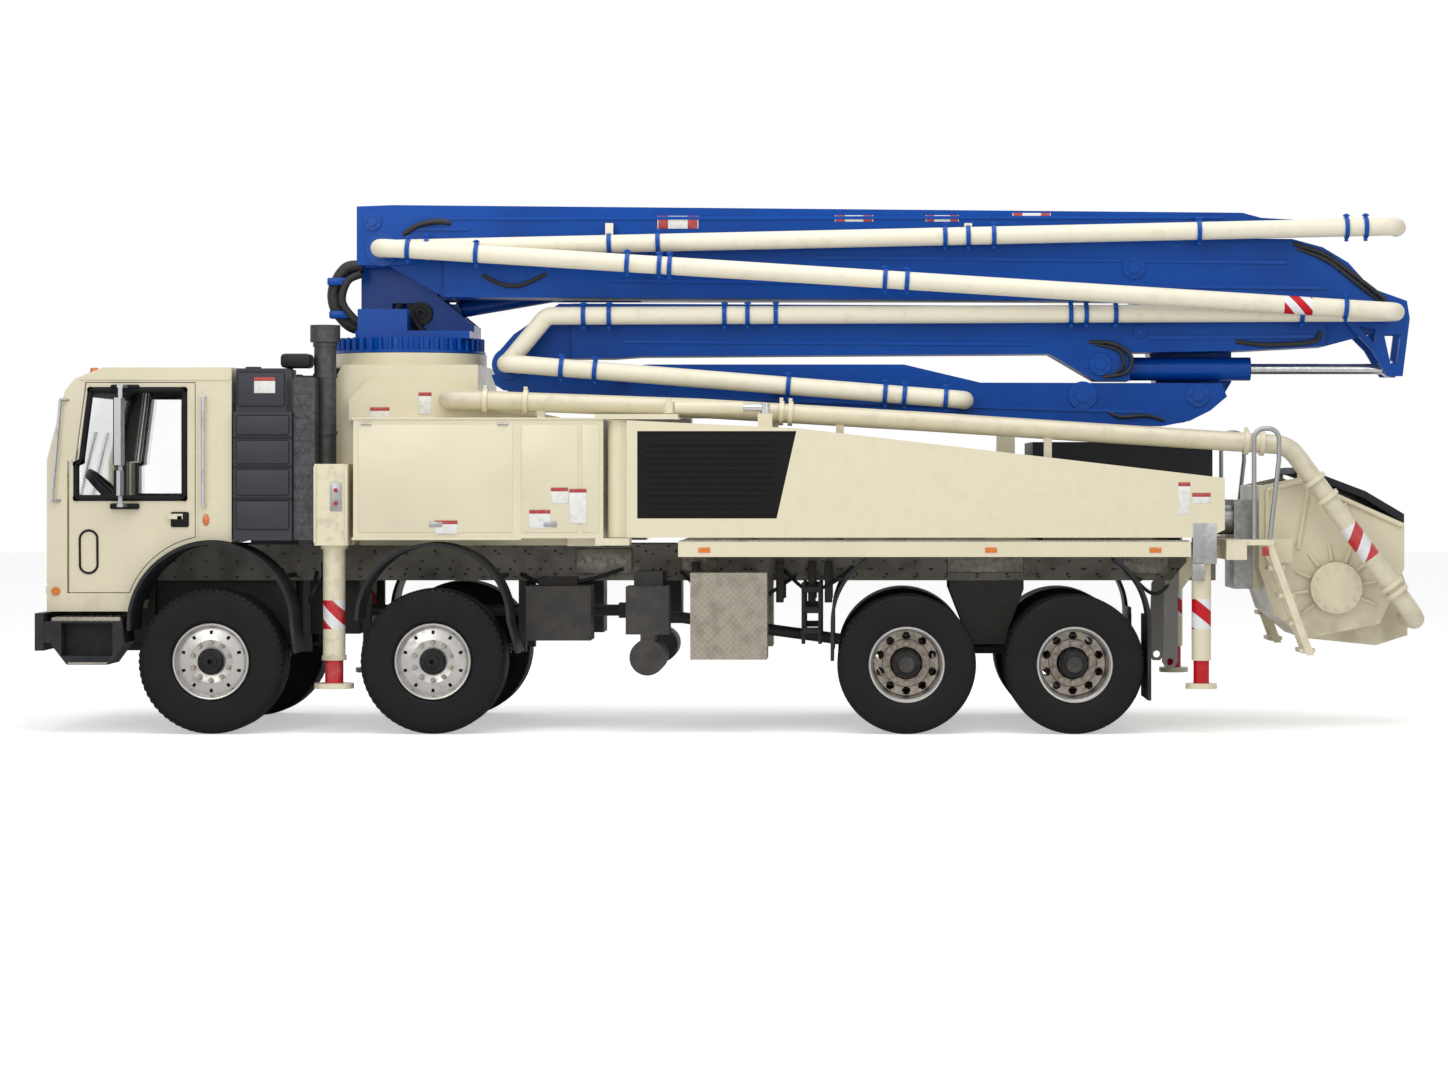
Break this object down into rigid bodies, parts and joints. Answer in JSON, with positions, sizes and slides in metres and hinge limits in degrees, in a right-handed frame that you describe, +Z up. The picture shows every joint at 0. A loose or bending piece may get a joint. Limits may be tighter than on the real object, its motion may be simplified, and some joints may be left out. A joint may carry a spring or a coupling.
{
  "type": "concrete_pump_truck",
  "caption": "Four-axle concrete pump truck, parked with its blue placing boom folded along its back, cream cab and body, outriggers and rear hopper",
  "frame": {"origin": "on the ground under the middle of the box", "axes": "+X to the rear of the truck, +Y to its right side, +Z up"},
  "size_m": [10.64, 2.88, 4.09],
  "materials": {
    "cream": "gloss machine enamel",
    "blue": "gloss machine enamel",
    "black_plastic": "grained",
    "dark_tank": "ribbed moulded",
    "chassis_paint": "satin chassis paint",
    "bare_steel": "worn",
    "tread_plate": "five bar plate",
    "tyre": "worn rubber",
    "glass": "clear"
  },
  "bodies": {
    "root": {"chassis_frame": "chassis_paint", "front_bumper": "black_plastic", "steer_axles": "chassis_paint", "drive_axles": "chassis_paint", "engine_block": "chassis_paint", "mudguards": "black_plastic", "exhaust_stack": "bare_steel", "side_tanks": "dark_tank", "chassis_boxes": "chassis_paint", "tool_chests": "tread_plate", "pedestal": "cream", "side_cabinets": "cream", "deck": "cream", "rear_frame": "cream", "hopper": "cream", "delivery_line": "cream", "oil_tank": "dark_tank", "pump_unit": "bare_steel"},
    "cab": {"cab_shell": "cream", "cab_interior": "black_plastic", "cab_glass": "glass"},
    "door_left": {"door_left": "cream"},
    "front_beam_left": {"front_beam_left": "cream"},
    "front_leg_left": {"front_leg_left": "cream"},
    "rear_beam_left": {"rear_beam_left": "cream"},
    "rear_leg_left": {"rear_leg_left": "cream"},
    "swing_barrel_left": {"swing_barrel_left": "cream"},
    "swing_rod_left": {"swing_rod_left": "bare_steel"},
    "knuckle_1_left": {"knuckle_1_left": "chassis_paint"},
    "knuckle_2_left": {"knuckle_2_left": "chassis_paint"},
    "wheel_1_left": {"wheel_1_left": "tyre"},
    "wheel_2_left": {"wheel_2_left": "tyre"},
    "wheel_3_left": {"wheel_3_left": "tyre"},
    "wheel_4_left": {"wheel_4_left": "tyre"},
    "door_right": {"door_right": "cream"},
    "front_beam_right": {"front_beam_right": "cream"},
    "front_leg_right": {"front_leg_right": "cream"},
    "rear_beam_right": {"rear_beam_right": "cream"},
    "rear_leg_right": {"rear_leg_right": "cream"},
    "swing_barrel_right": {"swing_barrel_right": "cream"},
    "swing_rod_right": {"swing_rod_right": "bare_steel"},
    "knuckle_1_right": {"knuckle_1_right": "chassis_paint"},
    "knuckle_2_right": {"knuckle_2_right": "chassis_paint"},
    "wheel_1_right": {"wheel_1_right": "tyre"},
    "wheel_2_right": {"wheel_2_right": "tyre"},
    "wheel_3_right": {"wheel_3_right": "tyre"},
    "wheel_4_right": {"wheel_4_right": "tyre"},
    "hopper_cover": {"hopper_cover": "black_plastic"},
    "turret": {"turret": "blue"},
    "raise_barrel": {"raise_barrel": "blue"},
    "raise_rod": {"raise_rod": "bare_steel"},
    "arm_1": {"arm_1": "blue"},
    "arm_2": {"arm_2": "blue"},
    "arm_3": {"arm_3": "blue", "fold_barrel": "blue"},
    "arm_4": {"arm_4": "blue"},
    "arm_5": {"arm_5": "blue"},
    "fold_rod": {"fold_rod": "bare_steel"}
  },
  "joints": [
    {"name": "steer_1_left", "type": "hinge", "parent": "root", "child": "knuckle_1_left", "pos_m": [-3.99, -0.89, 0.555], "axis": [0, 0, 1], "range_deg": [-30, 30]},
    {"name": "roll_1_left", "type": "hinge", "parent": "knuckle_1_left", "child": "wheel_1_left", "pos_m": [-3.99, -1.02, 0.555], "axis": [0, 1, 0], "continuous": true},
    {"name": "steer_2_left", "type": "hinge", "parent": "root", "child": "knuckle_2_left", "pos_m": [-2.3, -0.89, 0.555], "axis": [0, 0, 1], "range_deg": [-20, 20]},
    {"name": "roll_2_left", "type": "hinge", "parent": "knuckle_2_left", "child": "wheel_2_left", "pos_m": [-2.3, -1.02, 0.555], "axis": [0, 1, 0], "continuous": true},
    {"name": "roll_3_left", "type": "hinge", "parent": "root", "child": "wheel_3_left", "pos_m": [1.31, -0.912, 0.53], "axis": [0, 1, 0], "continuous": true},
    {"name": "roll_4_left", "type": "hinge", "parent": "root", "child": "wheel_4_left", "pos_m": [2.59, -0.912, 0.53], "axis": [0, 1, 0], "continuous": true},
    {"name": "door_left_hinge", "type": "hinge", "parent": "cab", "child": "door_left", "pos_m": [-5.064, -1.125, 1.5], "axis": [0, 0, -1], "range_deg": [0, 70]},
    {"name": "front_beam_left_out", "type": "slide", "parent": "root", "child": "front_beam_left", "axis": [0, -1, 0], "range_m": [0, 1.3]},
    {"name": "front_leg_left_down", "type": "slide", "parent": "front_beam_left", "child": "front_leg_left", "axis": [0, 0, -1], "range_m": [0, 0.34]},
    {"name": "rear_beam_left_swing", "type": "hinge", "parent": "root", "child": "rear_beam_left", "pos_m": [-0.895, -1.13, 1.95], "axis": [0, 0, -1], "range_deg": [0, 45]},
    {"name": "rear_leg_left_down", "type": "slide", "parent": "rear_beam_left", "child": "rear_leg_left", "axis": [0, 0, -1], "range_m": [0, 0.34]},
    {"name": "swing_barrel_left_pivot", "type": "hinge", "parent": "root", "child": "swing_barrel_left", "pos_m": [-0.5, -1.18, 2.49], "axis": [0, 0, -1], "range_deg": [0, 66.17]},
    {"name": "swing_rod_left_out", "type": "slide", "parent": "swing_barrel_left", "child": "swing_rod_left", "axis": [0.9977, 0.0683, 0], "range_m": [0, 0.1156]},
    {"name": "steer_1_right", "type": "hinge", "parent": "root", "child": "knuckle_1_right", "pos_m": [-3.99, 0.89, 0.555], "axis": [0, 0, 1], "range_deg": [-30, 30]},
    {"name": "roll_1_right", "type": "hinge", "parent": "knuckle_1_right", "child": "wheel_1_right", "pos_m": [-3.99, 1.02, 0.555], "axis": [0, 1, 0], "continuous": true},
    {"name": "steer_2_right", "type": "hinge", "parent": "root", "child": "knuckle_2_right", "pos_m": [-2.3, 0.89, 0.555], "axis": [0, 0, 1], "range_deg": [-20, 20]},
    {"name": "roll_2_right", "type": "hinge", "parent": "knuckle_2_right", "child": "wheel_2_right", "pos_m": [-2.3, 1.02, 0.555], "axis": [0, 1, 0], "continuous": true},
    {"name": "roll_3_right", "type": "hinge", "parent": "root", "child": "wheel_3_right", "pos_m": [1.31, 0.912, 0.53], "axis": [0, 1, 0], "continuous": true},
    {"name": "roll_4_right", "type": "hinge", "parent": "root", "child": "wheel_4_right", "pos_m": [2.59, 0.912, 0.53], "axis": [0, 1, 0], "continuous": true},
    {"name": "door_right_hinge", "type": "hinge", "parent": "cab", "child": "door_right", "pos_m": [-5.064, 1.125, 1.5], "axis": [0, 0, 1], "range_deg": [0, 70]},
    {"name": "front_beam_right_out", "type": "slide", "parent": "root", "child": "front_beam_right", "axis": [0, 1, 0], "range_m": [0, 1.3]},
    {"name": "front_leg_right_down", "type": "slide", "parent": "front_beam_right", "child": "front_leg_right", "axis": [0, 0, -1], "range_m": [0, 0.34]},
    {"name": "rear_beam_right_swing", "type": "hinge", "parent": "root", "child": "rear_beam_right", "pos_m": [-0.895, 1.13, 1.95], "axis": [0, 0, 1], "range_deg": [0, 45]},
    {"name": "rear_leg_right_down", "type": "slide", "parent": "rear_beam_right", "child": "rear_leg_right", "axis": [0, 0, -1], "range_m": [0, 0.34]},
    {"name": "swing_barrel_right_pivot", "type": "hinge", "parent": "root", "child": "swing_barrel_right", "pos_m": [-0.5, 1.18, 2.49], "axis": [0, 0, 1], "range_deg": [0, 66.17]},
    {"name": "swing_rod_right_out", "type": "slide", "parent": "swing_barrel_right", "child": "swing_rod_right", "axis": [0.9977, -0.0683, 0], "range_m": [0, 0.1156]},
    {"name": "cab_tilt", "type": "hinge", "parent": "root", "child": "cab", "pos_m": [-5.2, 0, 0.98], "axis": [0, -1, 0], "range_deg": [0, 45]},
    {"name": "hopper_cover_hinge", "type": "hinge", "parent": "root", "child": "hopper_cover", "pos_m": [4.383, 0, 2], "axis": [0, -1, 0], "range_deg": [0, 80]},
    {"name": "boom_raise", "type": "hinge", "parent": "turret", "child": "arm_1", "pos_m": [-2.7, 0.2, 3.6], "axis": [0, -1, 0], "range_deg": [0, 85]},
    {"name": "boom_slew", "type": "hinge", "parent": "root", "child": "turret", "pos_m": [-2.627, 0, 2.99], "axis": [0, 0, 1], "range_deg": [0, 180]},
    {"name": "boom_unfold", "type": "hinge", "parent": "arm_1", "child": "arm_2", "pos_m": [3.6, -0.2, 2.6], "axis": [0, 1, 0], "range_deg": [0, 180]},
    {"name": "arm_3_unfold", "type": "hinge", "parent": "arm_2", "child": "arm_3", "pos_m": [-1.797, -0.26, 2.842], "axis": [0, -1, 0], "range_deg": [0, 180]},
    {"name": "arm_4_unfold", "type": "hinge", "parent": "arm_3", "child": "arm_4", "pos_m": [5.12, -0.26, 3.243], "axis": [0, 1, 0], "range_deg": [0, 180]},
    {"name": "arm_5_unfold", "type": "hinge", "parent": "arm_4", "child": "arm_5", "pos_m": [-2.78, -0.26, 3.74], "axis": [0, -1, 0], "range_deg": [0, 180]},
    {"name": "raise_barrel_pivot", "type": "hinge", "parent": "turret", "child": "raise_barrel", "pos_m": [-2.3, 0.2, 3.29], "axis": [0, -1, 0], "range_deg": [0, 85.62]},
    {"name": "raise_rod_out", "type": "slide", "parent": "raise_barrel", "child": "raise_rod", "axis": [0.9858, 0, 0.168], "range_m": [0, 0.6858]},
    {"name": "fold_rod_out", "type": "slide", "parent": "arm_3", "child": "fold_rod", "axis": [1, 0, 0], "range_m": [0, 0.143]}
  ],
  "couplings": [
    {"joint": "swing_barrel_left_pivot", "follows": "rear_beam_left_swing", "ratio": 1.4594},
    {"joint": "swing_rod_left_out", "follows": "rear_beam_left_swing", "m_per_rad": 0.14585},
    {"joint": "swing_barrel_right_pivot", "follows": "rear_beam_right_swing", "ratio": 1.4594},
    {"joint": "swing_rod_right_out", "follows": "rear_beam_right_swing", "m_per_rad": 0.14585},
    {"joint": "steer_1_right", "follows": "steer_1_left", "ratio": 1},
    {"joint": "steer_2_left", "follows": "steer_1_left", "ratio": 0.65},
    {"joint": "steer_2_right", "follows": "steer_1_left", "ratio": 0.65},
    {"joint": "boom_slew", "follows": "boom_raise", "ratio": 2.1},
    {"joint": "arm_3_unfold", "follows": "boom_unfold", "ratio": 1},
    {"joint": "arm_4_unfold", "follows": "boom_unfold", "ratio": 1},
    {"joint": "arm_5_unfold", "follows": "boom_unfold", "ratio": 1},
    {"joint": "raise_barrel_pivot", "follows": "boom_raise", "ratio": 1.0002},
    {"joint": "raise_rod_out", "follows": "boom_raise", "m_per_rad": 0.46092},
    {"joint": "fold_rod_out", "follows": "boom_unfold", "m_per_rad": 0.0452}
  ]
}
